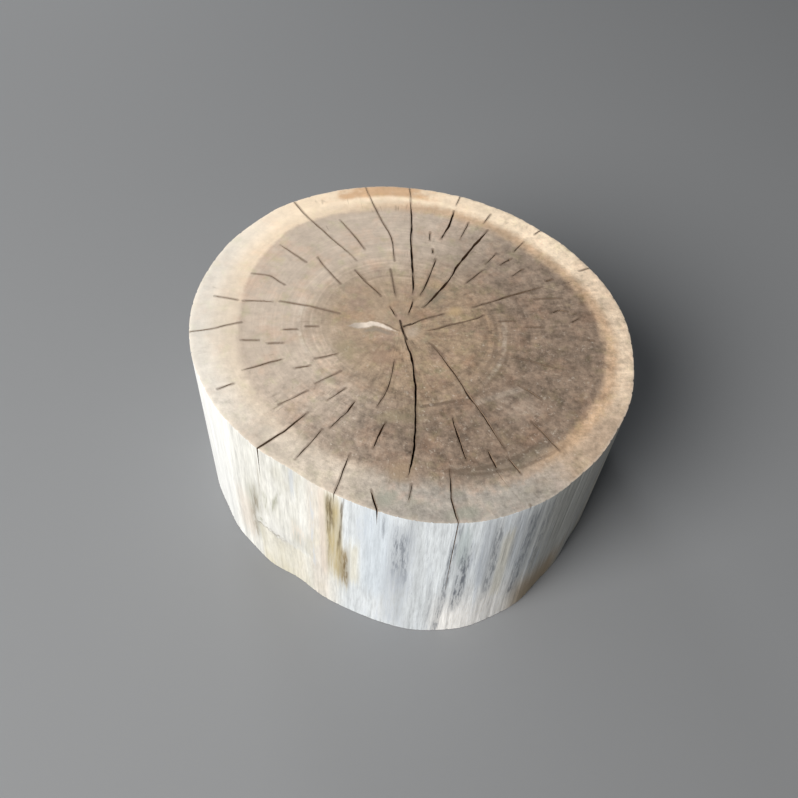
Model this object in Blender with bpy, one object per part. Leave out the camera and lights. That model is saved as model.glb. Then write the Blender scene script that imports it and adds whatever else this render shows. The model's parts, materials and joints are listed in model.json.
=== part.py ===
# Chopping block: a debarked round sawn from a tree trunk, grown as one piece of wood.
# Metres, +Z up. The foot's sawn face lies on z = 0 with its box centred on the origin,
# and the side that is seen first faces -Y.
import math
import random
from collections import namedtuple

import bmesh
import bpy
from mathutils import Vector

MM = 0.001

# Driving dimensions
HEIGHT = 223 * MM
TOP_RADIUS = 200 * MM
FOOT_RADIUS = 208 * MM
PITH = Vector((-11.4, 2.9, 0.0)) * MM
LEAN = Vector((3.4, 0.4, 0.0)) * MM

# The trunk isn't round: each lobe is how many times it goes round, its height and its crest in degrees
TOP_LOBES = ((2, 10.5 * MM, -24), (3, 1.9 * MM, 50), (4, 1.8 * MM, 16), (5, 0.8 * MM, -5))
FOOT_LOBES = ((2, 10.3 * MM, -24), (3, 4.5 * MM, 22), (4, 6.5 * MM, 21))

# Shallow flutes run up the side under the lost bark, and fade towards the top
FLUTE_SEED = 11
FLUTE_COUNTS = (7, 9, 12, 15, 19, 23)
FLUTE_HEIGHTS = (0.22 * MM, 0.45 * MM)
FLUTE_AT_FOOT = 1.4
FLUTE_AT_TOP = 0.6

# Swellings over the stubs of old branches: bearing in degrees, height up the side, radius and rise
Knot = namedtuple("Knot", "bearing z radius rise")
KNOTS = (
    Knot(-127, 100 * MM, 34 * MM, 2.5 * MM),
    Knot(68, 84 * MM, 30 * MM, 3.0 * MM),
)

# How finely the round is divided, and the turn past which an edge shows as sharp
SIDES = 144
LEVELS = 8
SHARP_TURN = math.radians(40)

# Drying checks open from a sawn face. Each runs out from the pith between two distances in mm,
# through evenly spaced bearings in degrees from +X. Width is in mm where it is widest, and
# split is how far in mm it opens down the side, where it runs out through the rim.
Check = namedtuple("Check", "start end bearings width split", defaults=(0,))

TOP_CHECKS = (
    # The widest one, from the pith to the front
    Check(-5, 161, (-73, -71, -77, -80, -84), 2.9),
    Check(168, 184, (-83, -84), 0.8),
    # To the back
    Check(16, 34, (70, 75), 2.4),
    Check(41, 170, (79, 86, 89, 90, 91), 2.4),
    Check(174, 198, (91, 92), 1.1, 8),
    Check(42, 94, (69, 71, 73), 1.8),
    Check(100, 106, (76, 77), 1.6),
    Check(116, 128, (80, 81), 1.2),
    Check(122, 166, (75, 74, 75), 2.3),
    Check(175, 198, (75, 75), 1.3, 14),
    Check(131, 157, (67, 68), 1.2),
    # To the back right
    Check(31, 158, (53, 55, 59, 60, 60), 2.8),
    Check(164, 180, (63, 63), 0.8),
    Check(84, 111, (46, 47), 0.9),
    Check(118, 137, (49, 50), 0.9),
    Check(129, 144, (44, 44), 1.4),
    Check(152, 170, (46, 47), 1.6),
    Check(186, 205, (47, 47), 1.0, 10),
    Check(128, 145, (36, 37), 1.5),
    Check(73, 149, (25, 26, 26), 1.9),
    Check(155, 164, (28, 28), 1.3),
    Check(194, 215, (28, 28), 1.0, 8),
    # To the right
    Check(2, 44, (5, 28, 27, 27), 1.5),
    Check(25, 81, (-5, 8, 12, 16), 1.0),
    Check(93, 109, (10, 10), 0.8),
    Check(117, 135, (6, 6), 0.7),
    Check(135, 162, (21, 19), 0.7),
    Check(146, 162, (13, 14, 13), 1.5),
    Check(162, 172, (8, 10), 1.3),
    Check(176, 182, (1, 1), 1.0),
    Check(109, 148, (-13, -13), 0.7),
    Check(123, 148, (-27, -28), 0.7),
    # To the front right
    Check(153, 190, (-38, -39, -40), 1.3),
    Check(32, 160, (-32, -43, -48, -50, -52), 1.9),
    Check(166, 186, (-53, -53), 0.9),
    Check(152, 172, (-57, -58), 1.4),
    Check(212, 226, (-56, -56), 0.8, 8),
    Check(109, 154, (-62, -64, -65), 1.8),
    Check(157, 214, (-71, -73, -73), 1.9, 190),
    # To the front
    Check(41, 95, (-95, -95, -99), 1.4),
    Check(108, 137, (-93, -95, -96), 1.9),
    Check(176, 199, (-94, -91), 1.7, 26),
    Check(147, 197, (-103, -103), 1.2, 16),
    # To the front left
    Check(95, 131, (-111, -112, -114), 1.9),
    Check(135, 172, (-116, -117), 1.1),
    Check(129, 196, (-125, -126, -128), 1.9, 60),
    Check(77, 103, (-131, -134), 0.9),
    Check(88, 109, (-120, -123), 0.9),
    Check(113, 142, (-133, -135), 1.1),
    Check(68, 89, (-145, -148), 1.2),
    Check(96, 110, (-145, -147), 1.2),
    Check(116, 153, (-154, -154), 1.5),
    Check(165, 180, (-150, -150), 0.8),
    # To the left
    Check(78, 90, (-173, -173), 0.9),
    Check(97, 111, (-171, -171), 1.3),
    Check(111, 126, (-163, -164), 0.8),
    Check(133, 149, (-166, -167), 0.9),
    Check(149, 206, (-175, -172, -171), 1.4, 12),
    Check(59, 119, (172, 171, 172), 1.2),
    Check(125, 152, (173, 175), 1.3),
    Check(157, 180, (175, 175), 0.8),
    # To the back left
    Check(121, 157, (162, 160, 162), 1.3),
    Check(121, 156, (145, 145), 1.0),
    Check(77, 118, (144, 139), 0.8),
    Check(13, 26, (118, 120), 1.5),
    Check(41, 82, (123, 127, 128), 1.8),
    Check(93, 208, (123, 127, 129, 129), 1.6, 18),
    Check(103, 151, (115, 117, 119), 1.2),
    Check(37, 73, (103, 103), 0.9),
    Check(83, 202, (99, 99, 103, 105, 106), 1.7, 18),
)

# The foot dried too: three long checks that are set, and a ring of smaller ones drawn by rule
FOOT_MAIN_CHECKS = (
    Check(-4, 150, (-96, -93, -90), 2.6),
    Check(20, 168, (52, 48, 46), 2.3),
    Check(24, 215, (158, 162, 165), 2.2, 40),
)
FOOT_SEED = 5
FOOT_SMALL_CHECKS = 26
FOOT_STARTS = (45, 140)
FOOT_LENGTHS = (20, 70)
FOOT_REACH = 182
FOOT_WIDTHS = (0.9, 1.8)
FOOT_DRIFT = 3
FOOT_CLEARANCE = 9

# Shape of one check: it is many times deeper than wide, and pinches shut towards its ends
DEPTH_PER_WIDTH = 14
PINCH_WIDTH = 0.25 * MM
PINCH_DEPTH = 3 * MM
PINCH_POWER = 3
SPLIT_POWER = 2
STATION_SPACING = 16 * MM
CUTTER_RISE = 4 * MM

# Colour and roughness of the wood, as the sawn face, the debarked side and the inside of a check show it
SAWN_WOOD = ((0.42, 0.32, 0.22, 1.0), 0.85)
SIDE_WOOD = ((0.74, 0.70, 0.60, 1.0), 0.7)
CHECK_WOOD = ((0.06, 0.035, 0.02, 1.0), 0.95)


def draw_flutes():
    """How often each flute wave goes round, how high it is and where it starts."""
    draw = random.Random(FLUTE_SEED)
    return [(count, draw.uniform(*FLUTE_HEIGHTS), draw.uniform(0, math.tau)) for count in FLUTE_COUNTS]


FLUTES = draw_flutes()


def lobed(radius, lobes, bearing):
    """Radius of an outline at a bearing in radians."""
    return radius + sum(rise * math.cos(n * (bearing - math.radians(crest))) for n, rise, crest in lobes)


def knot_rise(bearing, z):
    """How far the swellings over old branch stubs lift the side."""
    rise = 0.0
    for knot in KNOTS:
        turn = math.remainder(bearing - math.radians(knot.bearing), math.tau)
        away = math.hypot(turn * TOP_RADIUS, z - knot.z) / knot.radius
        rise += knot.rise * math.exp(-away * away)
    return rise


def side_point(bearing, z):
    """A point of the debarked side: the foot's outline runs straight up into the top's."""
    up = z / HEIGHT
    foot = lobed(FOOT_RADIUS, FOOT_LOBES, bearing)
    top = lobed(TOP_RADIUS, TOP_LOBES, bearing)
    flutes = sum(rise * math.cos(count * bearing + start) for count, rise, start in FLUTES)
    flutes *= FLUTE_AT_FOOT + (FLUTE_AT_TOP - FLUTE_AT_FOOT) * up
    radius = foot + (top - foot) * up + flutes + knot_rise(bearing, z)
    axis = LEAN * (1 - up)
    return Vector((axis.x + radius * math.cos(bearing), axis.y + radius * math.sin(bearing), z))


def make_material(name, look):
    colour, roughness = look
    material = bpy.data.materials.new(name)
    material.use_nodes = True
    shader = material.node_tree.nodes["Principled BSDF"]
    shader.inputs["Base Color"].default_value = colour
    shader.inputs["Roughness"].default_value = roughness
    shader.inputs["Metallic"].default_value = 0.0
    return material


def add_object(name, bm, materials, parent):
    mesh = bpy.data.meshes.new(name)
    bm.to_mesh(mesh)
    bm.free()
    for material in materials:
        mesh.materials.append(material)
    obj = bpy.data.objects.new(name, mesh)
    obj.parent = parent
    return obj


def make_round():
    """The trunk's round before it dried: rings bridged up the side, and a flat sawn face at each end."""
    bm = bmesh.new()
    below = None
    for level in range(LEVELS + 1):
        made = bmesh.ops.create_circle(bm, segments=SIDES, radius=1.0)
        edges = list({edge for vert in made["verts"] for edge in vert.link_edges})
        for vert in made["verts"]:
            vert.co = side_point(math.atan2(vert.co.y, vert.co.x), HEIGHT * level / LEVELS)
        if below is None:
            bmesh.ops.edgeloop_fill(bm, edges=edges)
        else:
            bmesh.ops.bridge_loops(bm, edges=below + edges)
        below = edges
    bmesh.ops.edgeloop_fill(bm, edges=below)
    bmesh.ops.recalc_face_normals(bm, faces=bm.faces)
    for face in bm.faces:
        face.material_index = 0 if len(face.verts) == SIDES else 1
    bmesh.ops.triangulate(bm, faces=[face for face in bm.faces if len(face.verts) == 4])
    return bm


def read_between(values, share):
    """Value at a share from 0 to 1 along evenly spaced values."""
    place = share * (len(values) - 1)
    low = min(int(place), len(values) - 2)
    return values[low] + (values[low + 1] - values[low]) * (place - low)


def check_sections(check, depth):
    """Place, direction across, half width and depth at each station of a check, from its inner end out."""
    length = (check.end - check.start) * MM
    stations = max(3, len(check.bearings), round(length / STATION_SPACING))
    for number in range(stations + 1):
        share = number / stations
        out = (check.start + (check.end - check.start) * share) * MM
        bearing = math.radians(read_between(check.bearings, share))
        along = Vector((math.cos(bearing), math.sin(bearing), 0.0))
        across = Vector((-along.y, along.x, 0.0))
        if check.split:
            fullness = 1 - (1 - share) ** PINCH_POWER
            bottom = depth + (check.split * MM - depth) * share ** SPLIT_POWER
        else:
            fullness = 1 - abs(2 * share - 1) ** PINCH_POWER
            bottom = depth
        width = max(PINCH_WIDTH, check.width * MM * fullness)
        yield along * out, across, width / 2, max(PINCH_DEPTH, bottom * fullness)


def make_wedge(check, pith, face_z, inward):
    """The empty space of one check: V sections from above the sawn face down into the wood."""
    bm = bmesh.new()
    before = None
    for place, across, half_width, depth in check_sections(check, DEPTH_PER_WIDTH * check.width * MM):
        mouth = pith + place + Vector((0, 0, face_z - inward * CUTTER_RISE))
        aside = across * half_width * (1 + CUTTER_RISE / depth)
        bottom = pith + place + Vector((0, 0, face_z + inward * depth))
        section = [bm.verts.new(corner) for corner in (mouth + aside, mouth - aside, bottom)]
        if before is None:
            bm.faces.new(section)
        else:
            for one, two in ((0, 1), (1, 2), (2, 0)):
                bm.faces.new((before[one], before[two], section[two], section[one]))
        before = section
    bm.faces.new(before)
    bmesh.ops.triangulate(bm, faces=bm.faces)
    bmesh.ops.recalc_face_normals(bm, faces=bm.faces)
    return bm


def draw_foot_checks():
    """Small checks of the foot: spread evenly round it, each with its own length, and clear of its middle."""
    draw = random.Random(FOOT_SEED)
    taken = [read_between(check.bearings, 0.6) for check in FOOT_MAIN_CHECKS]
    checks = []
    for number in range(FOOT_SMALL_CHECKS):
        bearing = (number + draw.random()) * 360 / FOOT_SMALL_CHECKS
        start = draw.uniform(*FOOT_STARTS)
        end = min(start + draw.uniform(*FOOT_LENGTHS), FOOT_REACH)
        drift = draw.uniform(-FOOT_DRIFT, FOOT_DRIFT)
        width = draw.uniform(*FOOT_WIDTHS)
        if min(abs(math.remainder(bearing - other, 360)) for other in taken) > FOOT_CLEARANCE:
            checks.append(Check(start, end, (bearing, bearing + drift), width))
    return checks


def add_checks(parent, material):
    """One cutter for each check, in a collection of its own that isn't rendered."""
    cutters = bpy.data.collections.new("check_cutters")
    cutters.hide_render = True
    bpy.context.scene.collection.children.link(cutters)
    top = [(check, PITH, HEIGHT, -1) for check in TOP_CHECKS]
    foot = [(check, PITH + LEAN, 0.0, 1) for check in (*FOOT_MAIN_CHECKS, *draw_foot_checks())]
    for number, (check, pith, face_z, inward) in enumerate(top + foot):
        wedge = make_wedge(check, pith, face_z, inward)
        cutter = add_object(f"check_cutter_{number:03d}", wedge, [material], parent)
        cutter.hide_render = True
        cutter.display_type = "WIRE"
        cutters.objects.link(cutter)
    return cutters


def main():
    for obj in list(bpy.data.objects):
        bpy.data.objects.remove(obj, do_unlink=True)

    sawn = make_material("sawn_end_grain", SAWN_WOOD)
    debarked = make_material("debarked_side", SIDE_WOOD)
    opened = make_material("open_check", CHECK_WOOD)

    body = make_round()
    xs = [vert.co.x for vert in body.verts]
    ys = [vert.co.y for vert in body.verts]
    origin = bpy.data.objects.new("chopping_block", None)
    origin.location = (-(min(xs) + max(xs)) / 2, -(min(ys) + max(ys)) / 2, 0.0)
    bpy.context.scene.collection.objects.link(origin)

    log = add_object("log_round", body, [sawn, debarked], origin)
    bpy.context.scene.collection.objects.link(log)
    log.data.shade_smooth()
    log.data.set_sharp_from_angle(angle=SHARP_TURN)

    opening = log.modifiers.new("drying_checks", "BOOLEAN")
    opening.operation = "DIFFERENCE"
    opening.solver = "EXACT"
    opening.operand_type = "COLLECTION"
    opening.material_mode = "TRANSFER"
    opening.collection = add_checks(origin, opened)


main()
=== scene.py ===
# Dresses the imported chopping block: the wood's own mesh, its finishes, and the studio round it.
import json
import math
import random
from collections import namedtuple

import bpy
import numpy as np
from mathutils import Matrix, Vector, noise
from mathutils.kdtree import KDTree

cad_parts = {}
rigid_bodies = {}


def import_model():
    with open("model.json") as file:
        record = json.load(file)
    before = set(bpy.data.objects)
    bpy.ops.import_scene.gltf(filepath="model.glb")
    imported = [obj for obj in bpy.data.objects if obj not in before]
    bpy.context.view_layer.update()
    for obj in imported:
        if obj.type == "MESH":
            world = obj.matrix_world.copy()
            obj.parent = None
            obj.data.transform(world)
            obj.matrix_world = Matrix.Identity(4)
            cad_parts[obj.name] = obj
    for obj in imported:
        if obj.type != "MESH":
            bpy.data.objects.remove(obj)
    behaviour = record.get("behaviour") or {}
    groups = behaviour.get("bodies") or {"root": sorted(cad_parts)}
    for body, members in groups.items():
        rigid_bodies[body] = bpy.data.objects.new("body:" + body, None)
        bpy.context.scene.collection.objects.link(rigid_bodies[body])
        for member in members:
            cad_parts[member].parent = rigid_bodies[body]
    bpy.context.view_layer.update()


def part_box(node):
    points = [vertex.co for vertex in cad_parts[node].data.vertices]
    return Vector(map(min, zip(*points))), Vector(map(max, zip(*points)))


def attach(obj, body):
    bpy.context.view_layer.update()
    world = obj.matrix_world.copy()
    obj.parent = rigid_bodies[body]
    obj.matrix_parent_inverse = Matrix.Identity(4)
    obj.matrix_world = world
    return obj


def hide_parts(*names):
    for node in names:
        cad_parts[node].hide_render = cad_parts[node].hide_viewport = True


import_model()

# The trunk's round. It is one piece of hardwood, sawn across at both ends and stripped of its bark, so it
# is a straight tube of wood fibre whose outline wanders in and out of round. The mesh starts at the pith
# and grows outwards ring by ring as the tree did, down the side, and in again under the foot.
MM = 0.001
LOW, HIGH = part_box("log_round")
HEIGHT = HIGH.z - LOW.z
TOP_RADIUS = 200 * MM
FOOT_RADIUS = 208 * MM
PITH = np.array((-11.4, 2.9)) * MM
LEAN = np.array((3.4, 0.4)) * MM
TOP_LOBES = ((2, 10.5 * MM, -24), (3, 1.9 * MM, 50), (4, 1.8 * MM, 16), (5, 0.8 * MM, -5))
FOOT_LOBES = ((2, 10.3 * MM, -24), (3, 4.5 * MM, 22), (4, 6.5 * MM, 21))
FLUTE_SEED = 11
FLUTE_COUNTS = (7, 9, 12, 15, 19, 23)
FLUTE_HEIGHTS = (0.22 * MM, 0.45 * MM)
FLUTE_AT_FOOT = 1.4
FLUTE_AT_TOP = 0.6
Knot = namedtuple("Knot", "bearing z radius rise")
KNOTS = (
    Knot(-127, 100 * MM, 34 * MM, 2.5 * MM),
    Knot(68, 84 * MM, 30 * MM, 3.0 * MM),
)

flute_draw = random.Random(FLUTE_SEED)
FLUTES = [(n, flute_draw.uniform(*FLUTE_HEIGHTS), flute_draw.uniform(0, math.tau)) for n in FLUTE_COUNTS]


def lobed(radius, lobes, bearing):
    """Radius of an outline at bearings in radians."""
    return radius + sum(rise * np.cos(n * (bearing - math.radians(crest))) for n, rise, crest in lobes)


def turned(bearing, degrees):
    """Signed turn in radians from a bearing in degrees to bearings in radians, the short way round."""
    return (bearing - math.radians(degrees) + math.pi) % math.tau - math.pi


def side_radius(bearing, up):
    """Distance from the trunk's axis to its side: the foot's outline runs straight up into the top's."""
    foot = lobed(FOOT_RADIUS, FOOT_LOBES, bearing)
    top = lobed(TOP_RADIUS, TOP_LOBES, bearing)
    flutes = sum(rise * np.cos(n * bearing + start) for n, rise, start in FLUTES)
    radius = foot + (top - foot) * up + flutes * (FLUTE_AT_FOOT + (FLUTE_AT_TOP - FLUTE_AT_FOOT) * up)
    for knot in KNOTS:
        away = np.hypot(turned(bearing, knot.bearing) * TOP_RADIUS, up * HEIGHT - knot.z) / knot.radius
        radius = radius + knot.rise * np.exp(-away * away)
    return radius


def side_points(bearing, up):
    """Points of the debarked side, before the block is centred on its box."""
    radius = side_radius(bearing, up)
    axis = LEAN * (1 - np.asarray(up))[..., None]
    return axis + radius[..., None] * np.stack([np.cos(bearing), np.sin(bearing)], axis=-1)


round_bearings = np.radians(np.arange(0, 360, 2.5))
heights = [np.full(len(round_bearings), up) for up in (0, 0.5, 1)]
outlines = np.concatenate([side_points(round_bearings, height) for height in heights])
CENTRE = (outlines.min(axis=0) + outlines.max(axis=0)) / 2
PITH = PITH - CENTRE

# Each girth of the open edge is divided finely enough that no step along it passes this length
FIRST_SIDES = 90
LONGEST_STEP = 2.4 * MM
RING_STEP = 2.6 * MM
CORE_RADIUS = 3 * MM
RIM_INSETS = (4.2 * MM, 2.2 * MM, 0.9 * MM, 0.0)
SIDE_DROPS = (0.7 * MM, 2.0 * MM, 4.5 * MM)
SIDE_STEP = 6.2 * MM
FOOT_INSETS = (0.8 * MM, 2.4 * MM, 5 * MM)
FOOT_STEP = 9 * MM
LOOP_TOLERANCE = 1e-6

growth = list(np.arange(CORE_RADIUS + RING_STEP, TOP_RADIUS - RIM_INSETS[0] - RING_STEP / 2, RING_STEP))
growth += [TOP_RADIUS - inset for inset in RIM_INSETS]
drops = list(SIDE_DROPS)
drops += list(np.linspace(SIDE_DROPS[-1], HEIGHT - SIDE_DROPS[-1], round(HEIGHT / SIDE_STEP))[1:])
drops += [HEIGHT - drop for drop in SIDE_DROPS[-2::-1]] + [HEIGHT]
foot_insets = list(FOOT_INSETS)
foot_insets += list(np.arange(FOOT_INSETS[-1] + FOOT_STEP, TOP_RADIUS - CORE_RADIUS, FOOT_STEP))


def widen_edge(now, radius):
    """Extrudes the selected open edge and scales it from one radius to another."""
    bpy.ops.mesh.extrude_edges_move()
    bpy.ops.transform.resize(value=(radius / now, radius / now, 1), center_override=(0, 0, 0))
    return radius


bpy.ops.object.select_all(action="DESELECT")
bpy.ops.mesh.primitive_circle_add(
    vertices=FIRST_SIDES, radius=CORE_RADIUS, fill_type="TRIFAN", location=(0, 0, HEIGHT)
)
block = bpy.context.object
block.name = "log_wood"
bpy.ops.object.transform_apply(location=True)
bpy.ops.object.mode_set(mode="EDIT")
bpy.ops.mesh.select_mode(type="EDGE")
bpy.ops.mesh.select_all(action="SELECT")
bpy.ops.mesh.region_to_loop()
sides, girth = FIRST_SIDES, CORE_RADIUS
for radius in growth:
    if math.tau * radius / sides > LONGEST_STEP:
        bpy.ops.mesh.subdivide(number_cuts=1)
        sides *= 2
    girth = widen_edge(girth, radius)
drop = 0.0
for next_drop in drops:
    bpy.ops.mesh.extrude_edges_move(TRANSFORM_OT_translate={"value": (0, 0, drop - next_drop)})
    drop = next_drop
for inset in foot_insets:
    girth = widen_edge(girth, TOP_RADIUS - inset)
bpy.ops.mesh.edge_face_add()
bpy.ops.mesh.select_all(action="SELECT")
bpy.ops.mesh.normals_make_consistent(inside=False)
bpy.ops.object.mode_set(mode="OBJECT")


# Each point of that plain cylinder moves to its place in the wood. The pith lies off centre and leans a
# little, so the rings are squeezed on one side. Sawing, drying and weather only took wood away, so relief
# goes inwards: kerf ridges and torn patches on the faces, a ragged rim, and soft grain lines on the side.
def rim_reach(bearing, up, start):
    """Distance out to the rim from a start point, along bearings in radians."""
    around = np.radians(np.arange(-200, 201, 0.5))
    rim = side_points(around, np.full(len(around), up)) - CENTRE - start
    seen = np.unwrap(np.arctan2(rim[:, 1], rim[:, 0]))
    ahead = np.argmin(np.abs(around))
    seen -= math.tau * round((seen[ahead] - around[ahead]) / math.tau)
    return np.interp((bearing + math.pi) % math.tau - math.pi, seen, np.hypot(rim[:, 0], rim[:, 1]))


def rough(points, seed, octaves=3):
    """Smooth noise from -1 to 1 at points scaled to its grain."""
    shift = Vector((seed * 7.3, seed * 3.1, seed * 5.7))
    return np.array([noise.fractal(Vector(point) + shift, 1.0, 2.0, octaves) for point in points])


KERF_TURN = math.radians(12)
KERF_PITCH = 11 * MM
KERF_DEPTH = 0.12 * MM
KERF_BEND = 2.5
FACE_DIP = 0.22 * MM
FOOT_DIP = 0.5
TEAR_DEPTH = 0.35 * MM
TEAR_START = 0.15
RIM_WEAR = 0.5 * MM
RIM_CHIPS = 0.6 * MM
RIM_ROUNDING = 1.3 * MM
SIDE_WEAR = 0.6
CHIP_COUNT = 19
SIDE_GRAIN = 0.35 * MM
SIDE_GRAIN_COUNT = 26
SIDE_GRAIN_RISE = 3
# Grains of the relief on the faces, in ups and downs per metre
KERF_SWAY = 9
DIP_GRAIN = 45
TEAR_GRAIN = 160

data = block.data
spots = np.empty(len(data.vertices) * 3)
data.vertices.foreach_get("co", spots)
spots = spots.reshape(-1, 3)
reach = np.hypot(spots[:, 0], spots[:, 1])
bearing = np.arctan2(spots[:, 1], spots[:, 0])
up = np.clip(spots[:, 2] / HEIGHT, 0, 1)
on_side = reach > TOP_RADIUS - LOOP_TOLERANCE
on_top = ~on_side & (up > 0.5)
on_foot = ~on_side & (up < 0.5)
wood = np.zeros_like(spots)
wood[:, :2] = side_points(bearing, up) - CENTRE
wood[:, 2] = spots[:, 2]
for here, pith in ((on_top, PITH), (on_foot, PITH + LEAN)):
    share = (reach[here] / TOP_RADIUS)[:, None]
    wood[here, :2] = pith + (wood[here, :2] - pith) * share

chips = rough(np.stack([np.cos(bearing), np.sin(bearing), up], 1) * CHIP_COUNT, 1, 2)
rim_worn = RIM_WEAR + RIM_CHIPS * np.clip(chips, 0, 1)
edge_drop = np.minimum(np.abs(spots[:, 2] - np.where(up > 0.5, HEIGHT, 0)), TOP_RADIUS) + (TOP_RADIUS - reach)
wear = rim_worn * np.exp(-edge_drop / RIM_ROUNDING)
along_kerf = spots[:, 1] * math.cos(KERF_TURN) - spots[:, 0] * math.sin(KERF_TURN)
kerf = np.sin(along_kerf * math.tau / KERF_PITCH + KERF_BEND * rough(spots * KERF_SWAY, 2, 1))
dip = FACE_DIP * (1 + rough(spots * DIP_GRAIN, 3)) + KERF_DEPTH * (1 + kerf)
torn = TEAR_DEPTH * np.clip(rough(spots * TEAR_GRAIN, 4) - TEAR_START, 0, 1)
wood[on_top, 2] -= (dip + torn + wear)[on_top]
wood[on_foot, 2] += (FOOT_DIP * dip + wear)[on_foot]
outward = np.stack([np.cos(bearing), np.sin(bearing)], 1)
grain = rough(np.column_stack([outward * SIDE_GRAIN_COUNT, up * SIDE_GRAIN_RISE]), 5)
side_in = SIDE_GRAIN * (1 + grain) + SIDE_WEAR * wear
wood[on_side, :2] -= (side_in[:, None] * outward)[on_side]
on_rim = on_side & (spots[:, 2] > HEIGHT - LOOP_TOLERANCE)
wood[on_rim, 2] -= (dip + wear)[on_rim]
data.vertices.foreach_set("co", wood.ravel())
data.update()


# Drying checks. The log dried from its ends, and wood shrinks more along its rings than across them, so it
# split open in wedges that run out from the pith. Each is cut by a prism that is divided every few
# millimetres, with edges that waver from fibre to fibre. Some run out through the rim and down the side.
# A check has its start and end in mm from the pith, bearings in degrees from one to the other, its width in
# mm, and how many mm it splits the side where it runs out through the rim.
Check = namedtuple("Check", "start end bearings width split", defaults=(0,))
TOP_CHECKS = (
    # The widest one, from the pith to the front
    Check(-5, 161, (-73, -71, -77, -80, -84), 2.9),
    Check(168, 184, (-83, -84), 0.8),
    # To the back
    Check(16, 34, (70, 75), 2.4),
    Check(41, 170, (79, 86, 89, 90, 91), 2.4),
    Check(174, 198, (91, 92), 1.1, 8),
    Check(42, 94, (69, 71, 73), 1.8),
    Check(100, 106, (76, 77), 1.6),
    Check(116, 128, (80, 81), 1.2),
    Check(122, 166, (75, 74, 75), 2.3),
    Check(175, 198, (75, 75), 1.3, 14),
    Check(131, 157, (67, 68), 1.2),
    # To the back right
    Check(31, 158, (53, 55, 59, 60, 60), 2.8),
    Check(164, 180, (63, 63), 0.8),
    Check(84, 111, (46, 47), 0.9),
    Check(118, 137, (49, 50), 0.9),
    Check(129, 144, (44, 44), 1.4),
    Check(152, 170, (46, 47), 1.6),
    Check(186, 205, (47, 47), 1.0, 10),
    Check(128, 145, (36, 37), 1.5),
    Check(73, 149, (25, 26, 26), 2.3),
    Check(155, 164, (28, 28), 1.3),
    Check(194, 215, (28, 28), 1.0, 8),
    # To the right
    Check(2, 44, (5, 28, 27, 27), 1.5),
    Check(25, 81, (-5, 8, 12, 16), 1.4),
    Check(93, 109, (10, 10), 0.8),
    Check(117, 135, (6, 6), 0.7),
    Check(135, 162, (21, 19), 0.7),
    Check(146, 162, (13, 14, 13), 1.5),
    Check(162, 172, (8, 10), 1.3),
    Check(176, 182, (1, 1), 1.0),
    Check(109, 148, (-13, -13), 0.7),
    Check(123, 148, (-27, -28), 0.7),
    # To the front right
    Check(153, 190, (-38, -39, -40), 1.7),
    Check(32, 160, (-32, -43, -48, -50, -52), 2.3),
    Check(166, 186, (-53, -53), 1.2),
    Check(152, 172, (-57, -58), 1.8),
    Check(212, 226, (-56, -56), 0.8, 8),
    Check(109, 154, (-62, -64, -65), 2.3),
    Check(157, 214, (-71, -73, -73), 1.9, 190),
    # To the front
    Check(41, 95, (-95, -95, -99), 1.1),
    Check(108, 137, (-93, -95, -96), 1.9),
    Check(176, 199, (-94, -91), 1.7, 26),
    Check(147, 197, (-103, -103), 1.2, 16),
    # To the front left
    Check(95, 131, (-111, -112, -114), 1.9),
    Check(135, 172, (-116, -117), 1.1),
    Check(129, 196, (-125, -126, -128), 1.9, 60),
    Check(77, 103, (-131, -134), 0.7),
    Check(88, 109, (-120, -123), 0.9),
    Check(113, 142, (-133, -135), 0.9),
    Check(68, 89, (-145, -148), 0.9),
    Check(96, 110, (-145, -147), 1.0),
    Check(116, 153, (-154, -154), 1.2),
    Check(165, 180, (-150, -150), 0.8),
    # To the left
    Check(78, 90, (-173, -173), 0.7),
    Check(97, 111, (-171, -171), 0.9),
    Check(111, 126, (-163, -164), 0.8),
    Check(133, 149, (-166, -167), 0.9),
    Check(149, 206, (-175, -172, -171), 1.1, 12),
    Check(59, 119, (172, 171, 172), 0.9),
    Check(125, 152, (173, 175), 0.9),
    Check(157, 180, (175, 175), 0.8),
    # To the back left
    Check(121, 157, (162, 160, 162), 1.0),
    Check(121, 156, (145, 145), 0.8),
    Check(77, 118, (144, 139), 0.8),
    Check(13, 26, (118, 120), 1.5),
    Check(41, 82, (123, 127, 128), 1.5),
    Check(93, 208, (123, 127, 129, 129), 1.2, 18),
    Check(103, 151, (115, 117, 119), 1.0),
    Check(37, 73, (103, 103), 0.7),
    Check(83, 202, (99, 99, 103, 105, 106), 1.3, 18),
)
FOOT_MAIN_CHECKS = (
    Check(-4, 150, (-96, -93, -90), 2.6),
    Check(20, 168, (52, 48, 46), 2.3),
    Check(24, 215, (158, 162, 165), 2.2, 40),
)
FOOT_SEED = 5
FOOT_SMALL_CHECKS = 26
FOOT_STARTS = (45, 140)
FOOT_LENGTHS = (20, 70)
FOOT_REACH = 182
FOOT_WIDTHS = (0.9, 1.8)
FOOT_DRIFT = 3
FOOT_CLEARANCE = 9
DEPTH_PER_WIDTH = 14
PINCH_WIDTH = 0.2 * MM
PINCH_DEPTH = 3 * MM
PINCH_POWER = 6
SPLIT_POWER = 2
STATION_SPACING = 2.6 * MM
CUTTER_RISE = 3 * MM
# How wide a check stands along its length: its mean, its slow and its quick changes, and the limits
GAPE = 0.74
SLOW_GAPE = 0.42
QUICK_GAPE = 0.2
GAPE_LIMITS = (0.12, 1.15)
WAVER = 0.34 * MM
END_SLANT = 1.5 * MM
RIM_CLOSING = 0.5
CUTTER_SEED = 23
SHARP_TURN = math.radians(38)


def read_between(values, share):
    """Value at a share from 0 to 1 along evenly spaced values."""
    return np.interp(share, np.linspace(0, 1, len(values)), values)


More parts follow.
